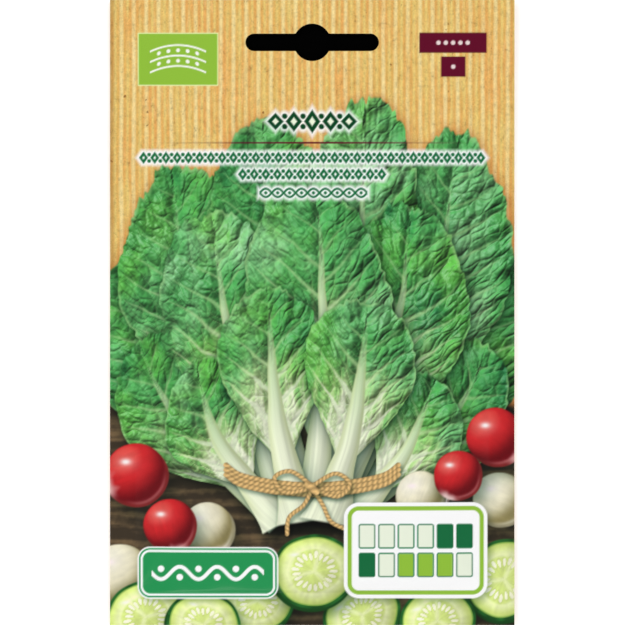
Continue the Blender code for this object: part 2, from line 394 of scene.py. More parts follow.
def slab(name, xs, ys, fine_height, coarse_height, up, hole, materials):
    """A closed paper slab: the fine grid on its show side, every second line of it behind, and walls. In
    its map the show side takes nearly all the room, and the rest lies in strips above it."""
    low, room = np.array((xs[0], ys[0])), np.array((xs[-1] - xs[0], ys[-1] - ys[0]))
    half = None if hole is None else tuple(k // 2 for k in hole)
    plan, faces, outer, rim = flat_sheet(xs, ys, RING_STEPS, hole)
    behind, under, outer_behind, rim_behind = flat_sheet(xs[::2], ys[::2], RING_STEPS // 2, half)
    offset = len(plan)
    show = np.column_stack((plan, fine_height(*plan.T)))
    back = np.column_stack((behind, coarse_height(*behind.T)))
    under = under[:, ::-1]
    groups = [faces, under + offset]
    charts = [strip(((plan - low) / room)[faces], *SHOW_STRIP)]
    charts.append(strip(((behind - low) / room)[under], *BACK_STRIP))
    loops = [(outer, outer_behind, EDGE_STRIP)]
    if hole is not None:
        loops.append((backwards(rim), backwards(rim_behind), SLOT_STRIP))
    for fine, coarse, span in loops:
        faces, places = wall(fine, coarse + offset)
        groups.append(faces)
        charts.append(strip(places, *span))
    if not up:
        groups = [g[:, ::-1] for g in groups]
        charts = [chart[:, ::-1] for chart in charts]
    return mesh_object(name, np.vstack((show, back)), groups, charts, materials), plan


class Print:
    """A web's print, as ink, the ink's cover and the shade that it casts on bare kraft."""

    def __init__(self, xs, ys):
        """Blank ink on the grid of the printed web, in millimetres."""
        self.cell = (xs[1] - xs[0]) / MM
        self.x, self.y = np.meshgrid(xs / MM, ys / MM)
        self.ink = np.zeros(self.x.shape + (3,))
        self.cover = np.zeros(self.x.shape)
        self.shade = np.zeros(self.x.shape)

    def window(self, low, high, margin):
        """The part of the grid within a box in millimetres and a margin round it, and its places."""
        xs, ys = self.x[0], self.y[:, 0]
        i = np.searchsorted(xs, (low[0] - margin, high[0] + margin))
        j = np.searchsorted(ys, (low[1] - margin, high[1] + margin))
        part = np.s_[j[0] : j[1], i[0] : i[1]]
        return part, self.x[part], self.y[part]

    def around(self, centre, reach, margin):
        """The same for a box round a centre."""
        return self.window(np.subtract(centre, reach), np.add(centre, reach), margin)

    def over(self, part, colour, cover):
        """Ink laid over what is there."""
        self.ink[part] = self.ink[part] * (1 - cover[..., None]) + colour * cover[..., None]
        self.cover[part] = self.cover[part] * (1 - cover) + cover

    def shadow(self, part, cover, shift, radius, strength):
        """A soft shadow of cover, moved by shift and blurred, over ink and bare kraft alike."""
        di, dj = (int(round(s / self.cell)) for s in shift)
        soft = strength * self.blur(moved(cover, dj, di), radius)
        self.ink[part] = self.ink[part] * (1 - soft[..., None] * SHADOW_INK)
        self.shade[part] = 1 - (1 - self.shade[part]) * (1 - soft)

    def blur(self, field, radius):
        """Four running means, two each way, each 2 radii wide."""
        n = max(1, int(round(radius / self.cell)))
        for axis in (0, 0, 1, 1):
            pad = [(0, 0), (0, 0)]
            pad[axis] = (n + 1, n)
            total = np.cumsum(np.pad(field, pad, mode="edge"), axis=axis)
            size = field.shape[axis]
            high = np.take(total, np.arange(2 * n + 1, 2 * n + 1 + size), axis=axis)
            field = (high - np.take(total, np.arange(size), axis=axis)) / (2 * n + 1)
        return field


def moved(field, rows, columns):
    """The field shifted by whole cells, with zeros coming in at the edges."""
    padded = np.pad(field, ((abs(rows),) * 2, (abs(columns),) * 2))
    top, left = abs(rows) - rows, abs(columns) - columns
    return padded[top : top + field.shape[0], left : left + field.shape[1]]


def shade_of(name):
    """One of the picture's display colours as an array."""
    return np.array(getattr(inks(), name))


TO_LAMP = (0.46, -0.56, 0.69)
TO_GLINT = (0.25, -0.31, 0.917)


def lit_by(height, cell):
    """Light from the upper left on a height field: 0 where it is level, and the gloss on slopes that face
    the light."""
    rise_y, rise_x = (0.8 * rise for rise in np.gradient(height, cell))
    slant = np.sqrt(1 + rise_x**2 + rise_y**2)
    light, gloss = ((way[0] * rise_x + way[1] * rise_y + way[2]) / slant for way in (TO_LAMP, TO_GLINT))
    return light / TO_LAMP[2] - 1, unit(gloss) ** 26


LEAF_CAP = 0.6
VEIN_SPACING = 7.5


class LeafPlan:
    """A leaf's own coordinates. The middle rib is a bent line from base to tip: s runs along it from 0 to
    1, c is the distance to its side, u is 0 on it and 1 at the ragged margin, and q runs round the margin."""

    def __init__(self, x, y, base, tip, bend, half_width, seed, stalk):
        ax, ay = tip[0] - base[0], tip[1] - base[1]
        self.long = np.hypot(ax, ay)
        ex, ey = ax / self.long, ay / self.long
        self.along = (x - base[0]) * ex + (y - base[1]) * ey
        self.s = s = self.along / self.long
        c = (x - base[0]) * ey - (y - base[1]) * ex - bend * 4 * s * (1 - s)
        self.c = c = c + 1.1 * fractal(x / 15, y / 15, seed + 5, 2)
        self.side = np.where(c < 0, -1.0, 1.0)
        self.a = np.abs(c)
        self.blade = unit((s - stalk) / (1 - stalk))
        self.wing = half_width * (0.04 + 0.96 * smooth(-0.05, 0.62, self.blade) ** 0.8)
        beyond = np.clip((s - LEAF_CAP) / (1 - LEAF_CAP), 0, None)
        turn = np.arctan2(beyond, self.a / self.wing + 1e-6)
        rounding = 0.5 * (half_width + (1 - LEAF_CAP) * self.long)
        self.q = q = self.side * ((np.pi / 2 - turn) * rounding + unit(LEAF_CAP - s) * self.long)
        ragged = 0.11 * noise(q / 15, 0.5, seed) + 0.05 * noise(q / 5.2, 3.5, seed + 1)
        notch = np.abs(noise(q / 3.1, 7.5, seed + 2)) - 0.4
        ragged = ragged + 0.035 * notch + 0.02 * noise(q / 1.1, 0.0, seed + 3)
        self.u = np.hypot(self.a / self.wing, beyond) / (1 + ragged)


def leaf(page, base, tip, bend, half_width, seed, tone, stalk, pale, stalk_width):
    """One broad crinkled leaf. Side veins leave the rib at a slant, finer ones part the blade into cells,
    and the blade swells between them, folds along its length and frills at its margin. Its height field is
    lit from the upper left, and the green turns pale towards the base, along the veins first."""
    low, high = np.minimum(base, tip) - half_width, np.maximum(base, tip) + half_width
    part, x, y = page.window(low, high, 6.0)
    plan = LeafPlan(x, y, base, tip, bend, half_width, seed, stalk)
    s, a, u, blade = plan.s, plan.a, plan.u, plan.blade
    rib = stalk_width * unit(1 - s / 0.97) ** 1.15 * (0.75 + 0.5 * np.exp(-s * 9)) + 0.05
    edge = page.cell * 0.75 / plan.wing
    body = smooth(1 + edge, 1 - edge, u) * smooth(stalk - 0.02, stalk + 0.06, s)
    stem_cover = smooth(rib + 0.15, rib - 0.15, a) * smooth(0.93, 0.8, s)
    cover = np.maximum(body, stem_cover) * smooth(-0.01, 0.004, s)
    page.shadow(part, cover, (1.1, -1.5), 2.2, 0.62)
    page.shadow(part, cover, (0.3, -0.3), 0.5, 0.5)
    vein, net, height = leaf_relief(x, y, plan, half_width, seed)
    relief, gloss = lit_by(height, page.cell)
    relief = relief * smooth(0, 0.25, blade)
    green = leaf_green(x, y, plan, relief, gloss, tone, seed)
    streak = fractal(plan.c / 1.1, plan.along / 16, seed + 53, 3)
    spread = pale * (1 - smooth(0.0, 0.9, blade)) ** 1.1 * (1.15 - 0.6 * unit(u))
    spread = unit(spread * (1 + 0.5 * streak) + 0.75 * spread * vein + 0.3 * spread * net)
    white = shade_of("stalk") * np.clip(1 + 0.22 * relief + 0.05 * streak, 0.6, 1.08)[..., None]
    yellow = shade_of("heart") * np.clip(1 + 0.3 * relief, 0.5, 1.2)[..., None]
    colour = mix(green, mix(yellow, white, smooth(0.35, 0.85, spread)), smooth(0.05, 0.85, spread))
    vein_ink = mix(shade_of("stalk"), shade_of("vein"), smooth(0.1, 0.8, blade))
    colour = mix(colour, vein_ink, vein * (0.6 - 0.25 * smooth(0.3, 1.0, u)))
    colour = mix(colour, shade_of("vein"), net * 0.30 * (1 - 0.5 * s))
    stem = leaf_stem(plan, rib, seed)
    colour = mix(colour, stem, smooth(rib + 0.25, rib - 0.2, a) * smooth(0.97, 0.6, s))
    page.over(part, unit(colour), cover)


def leaf_relief(x, y, plan, half_width, seed):
    """Where a leaf's side veins and its net of fine veins lie, and the height of its blade: swellings between
    the veins, cells of the net and finer ones, long folds, small lumps, a frilled margin and a sunken rib."""
    s, c, a, u = plan.s, plan.c, plan.a, plan.u
    warped = 1.6 * fractal(x / 10, y / 10, seed + 9, 3)
    lean = 0.75 + 1.7 * (1 - unit(s)) ** 2
    v = (plan.along - lean * a - 0.012 * a * a + warped) / VEIN_SPACING + 0.5 * (plan.side > 0)
    near = np.abs(v - np.round(v)) * VEIN_SPACING / np.sqrt(1 + lean**2)
    thick = (0.62 * (1 - 0.8 * unit(u)) + 0.08) * (1.25 - 0.5 * s)
    vein = hill(near, thick) * smooth(1.02, 0.8, u) * smooth(0.0, 0.06, plan.blade)
    first, second = cells(v * 2.7 + 0.5 * noise(x / 3, y / 3, seed + 13), a / 3.3 + 17 * plan.side, seed + 15)
    gap = second - first
    net = hill(gap, 0.075) * smooth(1.02, 0.85, u)
    first, second = cells(x / 1.35 + 0.7 * noise(x / 2.2, y / 2.2, seed + 19), y / 1.35, seed + 21)
    height = (0.5 - 0.5 * np.cos(2 * np.pi * v)) * (0.7 + 0.6 * fractal(x / 7, y / 7, seed + 31, 2))
    height = height + 0.75 * np.clip(gap, 0, 0.5) ** 0.7 + 0.22 * np.clip(second - first, 0, 0.5)
    height = height + 2.0 * fractal(c / 8 + 3, plan.along / 34, seed + 35, 2)
    height = height + 0.7 * fractal(x / 3.0, y / 3.0, seed + 37, 3)
    height = height + 1.5 * smooth(0.62, 1.0, u) * noise(plan.q / 3.6, u * 1.5, seed + 39)
    height = height + 0.13 * half_width * np.sin(np.pi * unit(u) ** 0.8)
    return vein, net, height - 1.0 * hill(c, 1.8)


def leaf_green(x, y, plan, relief, gloss, tone, seed):
    """The blade's greens: dark, middle and light in blotches, warmer in places, with relief, a hazy sheen on
    slopes that face the light, and a pale lip along parts of the margin."""
    blotch = 0.42 + 0.75 * fractal(x / 17 + seed, y / 17, seed + 41, 3)
    blotch = blotch + 0.3 * fractal(plan.c / 3, plan.along / 12, seed + 43, 3) + tone
    green = mix(shade_of("leaf_dark"), shade_of("leaf_mid"), smooth(-0.25, 0.45, blotch))
    green = mix(green, shade_of("leaf_light"), 0.85 * smooth(0.45, 1.25, blotch))
    warm = fractal(x / 12 + 3, y / 12, seed + 47, 2) + 0.25 * fractal(x / 2, y / 2, seed + 48, 2)
    green = mix(green, shade_of("leaf_fresh"), 0.7 * smooth(-0.1, 0.8, warm))
    green = green * (1 + 0.10 * fractal(x / 0.8, y / 1.1, seed + 49, 2))[..., None]
    green = green * np.clip(1 + 0.62 * relief, 0.25, 1.5)[..., None]
    hazy = smooth(-0.3, 0.7, fractal(x / 9, y / 9, seed + 51, 2))
    haze = 0.75 * unit(gloss * (0.18 + 0.42 * hazy)) * smooth(0.1, 0.4, plan.blade)
    green = mix(green, shade_of("sheen"), haze)
    lip = smooth(0.95, 0.99, plan.u) * smooth(0.1, 0.3, plan.blade)
    lip = lip * smooth(-0.6, 0.5, noise(plan.q / 6, 2.0, seed + 57))
    return mix(green, shade_of("vein"), 0.55 * lip)


def leaf_stem(plan, rib, seed):
    """The stalk and rib: pale, round across, grooved along, and greener towards the tip and its sides."""
    c, along = plan.c, plan.along
    turned = np.clip(c / np.maximum(rib, 0.1), -1, 1)
    stem = shade_of("stalk") * (1.02 - 0.17 * turned - 0.2 * turned**2)[..., None]
    grooves = noise(c * 1.9, along / 22, seed + 61) + 0.5 * noise(c * 4.3, along / 16, seed + 62)
    stem = stem * (1 + 0.05 * grooves)[..., None]
    stem = mix(stem, shade_of("vein"), smooth(0.25, 0.95, plan.s) * 0.75)
    rim = 0.35 * smooth(0.3, 1.0, np.abs(turned)) * smooth(0.02, 0.2, plan.s)
    return mix(stem, shade_of("heart"), rim)


TAIL_LIGHT = np.array((0.93, 0.86, 0.84))
TAIL_DARK = np.array((0.72, 0.60, 0.56))
PALE_END = np.array((0.94, 0.84, 0.82))
LIT_SPOT = np.array((1.0, 0.95, 0.94))


def root_ball(page, centre, radius, seed, root, skin):
    """A round root: a lit ball in its skin colour, pale towards a thin tail that tapers to a point."""
    part, x, y = page.around(centre, 2.4 * radius, 3.0)
    dark, body, flush = shade_of(skin + "_dark"), shade_of(skin), shade_of(skin + "_light")
    dx, dy = (x - centre[0]) / radius, (y - centre[1]) / radius
    rx, ry = np.cos(np.radians(root)), np.sin(np.radians(root))
    t = dx * rx + dy * ry
    n = -dx * ry + dy * rx
    taper = unit(1 - (t - 0.75) / 1.1)
    bent = n + 0.09 * np.sin(3.1 * t + seed) * (t - 0.8)
    tail = smooth(0.0, 0.05, 0.20 * taper**2.2 + 0.012 - np.abs(bent))
    tail = tail * smooth(0.6, 0.7, t) * smooth(1.8, 1.7, t)
    page.shadow(part, tail, (0.5, -0.6), 0.5, 0.45)
    page.over(part, mix(TAIL_LIGHT, TAIL_DARK, bent > 0), tail)
    r = np.hypot(dx, dy) * (1 + 0.03 * noise(dx * 1.3 + 5, dy * 1.3, seed)) / (1 + 0.05 * smooth(0.5, 1.2, t))
    cover = smooth(1 + page.cell / radius, 1 - page.cell / radius, r)
    page.shadow(part, cover, (1.4, -2.0), 2.2, 0.62)
    light = unit(-0.45 * dx + 0.55 * dy + 0.7 * np.sqrt(unit(1 - r * r)))
    colour = mix(dark, body, smooth(0.05, 0.8, light))
    colour = mix(colour, flush, smooth(0.75, 1.0, light) * 0.6)
    colour = mix(colour, flush * 0.6, 0.5 * smooth(0.2, 0.0, light) * smooth(0.8, 1.0, r))
    mottle = 1 + 0.05 * fractal(dx * 3, dy * 3, seed + 3) + 0.04 * fractal(n * 9, t * 2, seed + 5)
    colour = colour * mottle[..., None]
    pale_end = smooth(0.62 + 0.12 * noise(n * 6, t * 3, seed + 7), 1.0, t) * smooth(0.6, 0.1, np.abs(n))
    colour = mix(colour, PALE_END, 0.9 * pale_end)
    spot = hill(dx + 0.36, 0.17) * hill(dy - 0.42, 0.10)
    soft = hill(dx + 0.30, 0.38) * hill(dy - 0.36, 0.26)
    colour = mix(colour, LIT_SPOT, unit(spot * 0.9 + 0.18 * soft))
    rim = 0.35 * hill(r - 0.86, 0.06) * smooth(0.3, 0.9, 0.6 * dx - 0.8 * dy)
    colour = mix(colour, 0.5 + 0.5 * flush, rim)
    page.over(part, unit(colour), cover)


PIPS = 21
PIP = np.array((0.96, 0.96, 0.84))
UNDER_SKIN = np.array((0.47, 0.66, 0.27))


def cut_slice(page, centre, radius, seed, squash, turned):
    """A round green-skinned slice: skin, rim, flesh and three chambers with a ring of pale seeds."""
    part, x, y = page.around(centre, 1.1 * radius, 4.0)
    co, si = np.cos(turned), np.sin(turned)
    dx, dy = x - centre[0], y - centre[1]
    px, py = (dx * co + dy * si) / radius, (-dx * si + dy * co) / (radius * squash)
    angle = np.arctan2(py, px)
    r = np.hypot(px, py) * (1 + 0.012 * np.sin(3 * angle + seed) + 0.008 * np.sin(7 * angle + 2 * seed))
    soft = page.cell / radius
    side = smooth(1 + soft, 1 - soft, np.hypot(px + 0.05, py + 0.09))
    cover = smooth(1 + soft, 1 - soft, r)
    page.shadow(part, np.maximum(cover, side), (1.0, -1.6), 1.7, 0.6)
    page.over(part, 0.75 * shade_of("skin"), side)
    pale, rich = shade_of("flesh"), shade_of("flesh_dark")
    flesh = mix(pale, rich, smooth(0.6, 0.92, r))
    core = smooth(0.64, 0.52, r * (1 + 0.06 * np.cos(3 * angle + seed)))
    flesh = mix(flesh, rich * 1.04, core * 0.8)
    flesh = mix(flesh, pale * 1.04, 0.5 * hill(r - 0.63, 0.03))
    third = np.abs(((angle + seed) / (2 * np.pi / 3)) % 1 - 0.5) * r * 2.1
    flesh = mix(flesh, pale * 1.03, 0.9 * core * hill(third, 0.07))
    k = (angle + 0.1 * seed) / (2 * np.pi) * PIPS
    off = (k - np.round(k)) * 2 * np.pi / PIPS * 0.42
    pip = np.hypot(off / 0.042, (r - 0.43 - 0.03 * np.sin(np.round(k) * 2.4)) / 0.105)
    flesh = mix(flesh, rich * 0.92, 0.5 * core * smooth(1.6, 1.0, pip))
    flesh = mix(flesh, PIP, core * smooth(1.15, 0.85, pip))
    mottle = 1 + 0.05 * fractal(x / 1.5, y / 1.5, seed + 2) + 0.03 * noise(angle * 9, r * 3, seed)
    flesh = flesh * (mottle + 0.10 * (py - px))[..., None]
    flesh = mix(flesh, WHITE, 0.7 * hill(px + 0.42, 0.13) * hill(py - 0.5, 0.05))
    flesh = mix(flesh, UNDER_SKIN, smooth(0.87, 0.92, r) * 0.8)
    skin = shade_of("skin") * (1 + 0.25 * noise(angle * 6, r * 2, seed + 9))[..., None]
    page.over(part, unit(mix(flesh, skin, smooth(0.91, 0.945, r))), cover)


def board(page):
    """The dark wooden board behind the foot of the picture: long wavy grain, and a seam between planks."""
    part, x, y = page.window((-49, -76), (49, -16), 0.0)
    cover = smooth(1.4, -1.4, y + 21 - 2.5 * fractal(x / 13, 0.0, 3, 3))
    bend = y + 1.6 * fractal(x / 30, y / 14, 69, 2)
    rings = np.sin(bend * 1.9 + 3 * fractal(x / 22, y / 9, 77, 2))
    grain = fractal(x / 18, bend / 1.5, 71, 4) + 0.3 * rings + 0.35 * fractal(x / 1.4, y / 1.4, 73, 3)
    colour = mix(shade_of("board"), shade_of("board_light"), smooth(-0.4, 0.9, grain))
    colour = mix(colour, 0.4 * shade_of("board"), 0.8 * hill(y + 60 + 0.4 * np.sin(x / 9), 0.5))
    page.shadow(part, cover, (0.0, 1.0), 2.0, 0.6)
    page.over(part, unit(colour), cover)


def smooth_path(points, steps):
    """A curve through the points whose pieces are cubics with matching slopes where they meet."""
    knots = np.array(points, float)
    t = np.linspace(0, len(knots) - 1, steps * len(knots))
    k = np.clip(t.astype(int), 0, len(knots) - 2)
    f = (t - k)[:, None]
    start, stop = knots[k], knots[k + 1]
    out = (stop - knots[np.maximum(k - 1, 0)]) / 2
    back = (knots[np.minimum(k + 2, len(knots) - 1)] - start) / 2
    rise = 3 * f**2 - 2 * f**3
    return (1 - rise) * start + rise * stop + (f**3 - 2 * f**2 + f) * out + (f**3 - f**2) * back


def twine(page, points, half_width, seed):
    """Twine along a smooth path: round in section, with strands that slant across it."""
    path = smooth_path(points, 14)
    part, x, y = page.window(path.min(0), path.max(0), 3.0)
    near = np.full(x.shape, 99.0)
    run, off = np.zeros(x.shape), np.zeros(x.shape)
    gone = 0.0
    for a, b in zip(path[:-1], path[1:]):
        step = np.hypot(*(b - a)) + 1e-9
        ex, ey = (b - a) / step
        foot = np.clip((x - a[0]) * ex + (y - a[1]) * ey, 0, step)
        away = np.hypot(x - a[0] - foot * ex, y - a[1] - foot * ey)
        closer = away < near
        near = np.where(closer, away, near)
        run = np.where(closer, gone + foot, run)
        off = np.where(closer, (x - a[0]) * ey - (y - a[1]) * ex, off)
        gone += step
    cover = smooth(half_width + 0.12, half_width - 0.12, near)
    page.shadow(part, cover, (0.5, -0.7), 0.5, 0.55)
    across = np.clip(off / half_width, -1, 1)
    strands = np.sin(2 * np.pi * (run / (2.1 * half_width) + 0.32 * across))
    light = 1.05 - 0.25 * across**2 + 0.14 * strands + 0.06 * noise(run / 0.4, off / 0.2, seed)
    page.over(part, unit(shade_of("twine") * light[..., None]), cover)


def repeated(value, period):
    """Distance along to the middle of the nearest of marks that repeat."""
    return value - period * np.round(value / period)


def nearest_of(x, pitch, count):
    """Of a row of marks round 0, the number of the nearest and the distance along to its middle."""
    shift = 0.0 if count % 2 else pitch / 2
    step = np.clip(np.round((x - shift) / pitch), -(count // 2), (count - 1) // 2)
    return step, x - shift - step * pitch


def box_in(x, y, size, corner=0.0):
    """How far a point lies inside a rounded box round the origin; negative outside."""
    dx = np.abs(x) - size[0] / 2 + corner
    dy = np.abs(y) - size[1] / 2 + corner
    return corner - np.hypot(np.maximum(dx, 0), np.maximum(dy, 0)) - np.minimum(np.maximum(dx, dy), 0)


def lozenge_in(x, y, half_x, half_y):
    """How far a point lies inside an upright lozenge round the origin."""
    return (1 - np.abs(x) / half_x - np.abs(y) / half_y) * half_x * half_y / np.hypot(half_x, half_y)


def wave_in(x, y, swing, half_length, half_line):
    """How far a point lies inside a line that waves along the x axis."""
    turn = np.pi / half_length
    slope = swing * turn * np.cos(turn * x)
    return half_line - np.abs(y - swing * np.sin(turn * x)) / np.sqrt(1 + slope**2)


class Mark:
    """A patch of the page with its own origin, where shapes are inked by how far points lie inside them."""

    def __init__(self, page, centre, size):
        self.page = page
        self.part, x, y = page.around(centre, size, 1.0)
        self.x, self.y = x - centre[0], y - centre[1]

    def ink(self, inside, colour, strength=1.0):
        """Lays a colour, by name or value, wherever inside is positive, with an edge one cell soft."""
        colour = shade_of(colour) if isinstance(colour, str) else np.array(colour)
        soft = 0.4 * self.page.cell
        self.page.over(self.part, colour, strength * smooth(-2 * soft, soft, inside))

    def glow(self, inside, reach, strength):
        """A soft white halo round a shape."""
        self.page.over(self.part, WHITE, strength * smooth(-reach, -0.1, inside))

    def plate(self, size, corner, rims, shift, radius, strength):
        """A plate with round corners and a soft shadow, and rims of colour, each from its own inset on."""
        whole = box_in(self.x, self.y, size, corner)
        self.page.shadow(self.part, smooth(-0.2, 0.2, whole), shift, radius, strength)
        for inset, colour in rims:
            self.ink(whole - inset, colour)


OUTSIDE = -9
PALE_HEART = (0.93, 0.96, 0.86)
PALE_BOX = (0.93, 0.96, 0.88)
PALE_DOT = (0.95, 0.90, 0.88)
PALE_PANEL = (0.97, 0.95, 0.88)


def headpiece(page, centre, width, height):
    """A flourish at the head of the print: lozenges with pale hearts, less tall outwards, and dots
    between them."""
    mark = Mark(page, centre, (width, height))
    count = 5
    pitch = width / count
    step, local = nearest_of(mark.x, pitch, count)
    tall = height / 2 * (1 - 0.14 * np.abs(step))
    lozenges = lozenge_in(local, mark.y, pitch * 0.43, tall)
    between = np.hypot(repeated(mark.x - pitch / 2, pitch), np.abs(mark.y) - 1.25)
    dots = np.where(np.abs(mark.x) < width / 2 - pitch / 4, 0.6 - between, OUTSIDE)
    inside = np.maximum(lozenges, dots)
    mark.glow(inside, 1.3, 0.85)
    mark.ink(inside, "deep")
    mark.ink(lozenge_in(local, mark.y, pitch * 0.17, tall * 0.4), PALE_HEART)


def border_line(page, centre, width, height, period):
    """A border line of small ornaments: hollow lozenges with a pair of dots between each two."""
    mark = Mark(page, centre, (width / 2, height))
    count = round(width / period)
    period = width / count
    local = nearest_of(mark.x, period, count)[1]
    lozenges = lozenge_in(local, mark.y, period * 0.38, height / 2)
    hollow = lozenge_in(local, mark.y, period * 0.13, height * 0.2)
    dots = 0.4 - np.hypot(repeated(local - period / 2, period), np.abs(mark.y) - height * 0.27)
    dots = np.where(np.abs(mark.x) < (width - period / 2) / 2, dots, OUTSIDE)
    level = box_in(mark.x, mark.y, (width, 0.84 * height), 0.3)
    mark.glow(np.minimum(np.maximum(lozenges, dots), level), 1.3, 0.96)
    mark.ink(np.maximum(np.minimum(lozenges, -hollow), dots), "border")


def braid_line(page, centre, width, height):
    """Two thin waves that cross, with a dot in each loop."""
    mark = Mark(page, centre, (width / 2, height))
    loop = width / 9
    shifted = mark.x + loop / 2
    waves = [wave_in(shifted, sign * mark.y, 0.4 * height, loop, 0.2) for sign in (-1, 1)]
    dots = 0.33 - np.hypot(repeated(mark.x, loop), mark.y)
    level = box_in(mark.x, mark.y, (width, 2 * height))
    inside = np.minimum(np.maximum(np.maximum(*waves), dots), level)
    mark.glow(inside, 1.2, 0.95)
    mark.ink(inside, "border")


def rule(page, centre, width):
    """A maroon hairline that fades at both ends."""
    mark = Mark(page, centre, (width / 2, 1))
    fade = unit(1.04 - 2 * np.abs(mark.x) / width)
    cover = smooth(0.34, 0.08, np.abs(mark.y)) * fade
    page.over(mark.part, shade_of("maroon"), cover)


def furrow_panel(page, centre, size):
    """A green panel with a thin pale border, and arched white furrow lines with seeds between them."""
    mark = Mark(page, centre, size)
    x, y = mark.x, mark.y
    mark.ink(box_in(x, y, np.add(size, 0.5)), "cream_line")
    mark.ink(box_in(x, y, size), "lime")
    reach = 0.36 * size[0]
    pitch = 2.5
    arch = y - 0.9 + 0.035 * x * x
    line = 0.17 - np.abs(repeated(arch, pitch)) / np.sqrt(1 + (0.07 * x) ** 2)
    line = np.where((np.abs(x) < reach) & (np.abs(arch) < 1.3 * pitch), line, OUTSIDE)
    seed = 0.42 - np.hypot(repeated(x, 2.3), repeated(arch - pitch / 2, pitch))
    seed = np.where((np.abs(x) < reach * 0.92) & (np.abs(arch) < pitch), seed, OUTSIDE)
    mark.ink(np.maximum(line, seed), WHITE, 0.96)


def code_bar(page, centre, size, dots):
    """A maroon bar with a few plain pale dots."""
    mark = Mark(page, centre, size)
    mark.ink(box_in(mark.x, mark.y, size), "maroon")
    along = nearest_of(mark.x, 1.75, dots)[1]
    mark.ink(0.5 - np.hypot(along, mark.y), PALE_DOT, 0.95)


def scroll_banner(page, centre, size):
    """A green banner with round corners and a double rim, and a white wave with a dot in each bend."""
    mark = Mark(page, centre, size)
    rims = ((0, WHITE), (0.35, "badge"), (0.75, WHITE), (1.3, "badge"))
    mark.plate(size, 3.0, rims, (0.5, -0.6), 0.7, 0.35)
    bend = size[0] / 7.5
    wave = wave_in(mark.x, mark.y, 1.5, bend, 0.42)
    upper = np.sign(np.sin(np.pi * mark.x / bend))
    spot = 0.75 - np.hypot(repeated(mark.x - bend / 2, bend), mark.y + upper)
    mark.ink(np.where(np.abs(mark.x) < 3 * bend, np.maximum(wave, spot), OUTSIDE), WHITE)


def month_panel(page, centre, size):
    """A white panel with a lime rim and a plain calendar of twelve boxes, some of them filled."""
    mark = Mark(page, centre, size)
    mark.plate(size, 3.6, ((0, WHITE), (0.9, "lime"), (1.9, WHITE)), (0.6, -0.8), 0.9, 0.4)
    pitch = np.array((size[0] * 0.136, size[1] * 0.30))
    column = np.clip(np.floor(mark.x / pitch[0]), -3, 2)
    row = np.where(mark.y > 0, 0, -1)
    month = column + 4 + 6 * (row < 0)
    local = mark.x - (column + 0.5) * pitch[0], mark.y - (row + 0.5) * pitch[1]
    inside = box_in(*local, pitch * 0.84, 0.5)
    mark.ink(inside, "border")
    sown = (month >= 5) & (month <= 7)
    picked = (month >= 9) & (month <= 11)
    mark.ink(np.where(sown, OUTSIDE, inside - 0.28), PALE_BOX)
    mark.ink(np.where(picked, inside - 0.28, OUTSIDE), "lime")


FOOT_OF_BUNCH = (0.0, -50.0)
BACK_LEAVES = (
    ((-47.0, 13.0), -6, 15.0, 0.0),
    ((47.5, 16.0), 6, 15.0, 0.1),
    ((-34.0, 37.0), -6, 17.0, 0.3),
    ((35.0, 42.0), 6, 18.0, 0.42),
    ((-12.0, 47.0), -2, 17.0, 0.2),
    ((12.0, 50.0), 3, 17.5, 0.45),
)
MIDDLE_LEAVES = (
    ((-42.0, -6.0), -5, 13.0, 0.15),
    ((42.5, -8.0), 5, 13.0, 0.05),
    ((-24.0, 25.0), -4, 16.5, 0.2),
    ((24.0, 26.0), 4, 17.0, 0.05),
    ((1.0, 32.0), 1.5, 17.5, 0.15),
)
FRONT_LEAVES = (
    ((-28.0, -12.0), -4, 12.0, 0.2),
    ((29.0, -14.0), 4, 12.0, 0.2),
    ((-11.0, 7.0), -2, 14.0, 0.25),
    ((13.0, 4.0), 2, 14.5, 0.15),
)
LEAF_ROWS = (
    (BACK_LEAVES, 100, 0.10, 1.5, 0.18, 0.6, 3.8),
    (MIDDLE_LEAVES, 700, 0.15, 0.8, 0.20, 0.85, 4.4),
    (FRONT_LEAVES, 1300, 0.24, 0.0, 0.24, 1.1, 5.2),
)
ROOTS = (
    ((-25.0, -52.0), 6.6, 300, "bulb"),
    ((-46.0, -63.0), 7.5, 200, "bulb"),
    ((-42.0, -39.0), 7.6, 200, "root"),
    ((-34.0, -51.0), 6.4, 285, "root"),
    ((45.0, -45.0), 6.6, -20, "bulb"),
    ((26.0, -44.0), 6.0, 250, "bulb"),
    ((44.0, -30.0), 7.0, -35, "root"),
    ((35.0, -39.0), 5.9, 245, "root"),
)
SLICES = (
    ((-13.0, -69.0), 9.0, 0.9, 0.4),
    ((-40.0, -73.0), 9.6, 0.9, 0.2),
    ((-26.0, -75.0), 9.0, 0.9, -0.3),
    ((12.0, -72.5), 9.6, 0.85, 0.5),
    ((0.5, -62.0), 10.2, 0.88, 0.1),
    ((46.0, -64.0), 10.2, 0.9, 0.9),
    ((30.0, -74.0), 9.2, 0.9, 0.3),
)
KNOT = (0.0, -42.0)
BOW = (
    ((0, 0.5), (-5, 4), (-9, 2.5), (-6.5, -1), (0, 0)),
    ((0, 0.5), (5.5, 3.5), (9, 1), (6, -2), (0, 0)),
    ((0, 0), (-2, -4), (-5.5, -7), (-6, -11)),
    ((0, 0), (2.5, -4), (4.5, -8), (8.5, -10)),
)


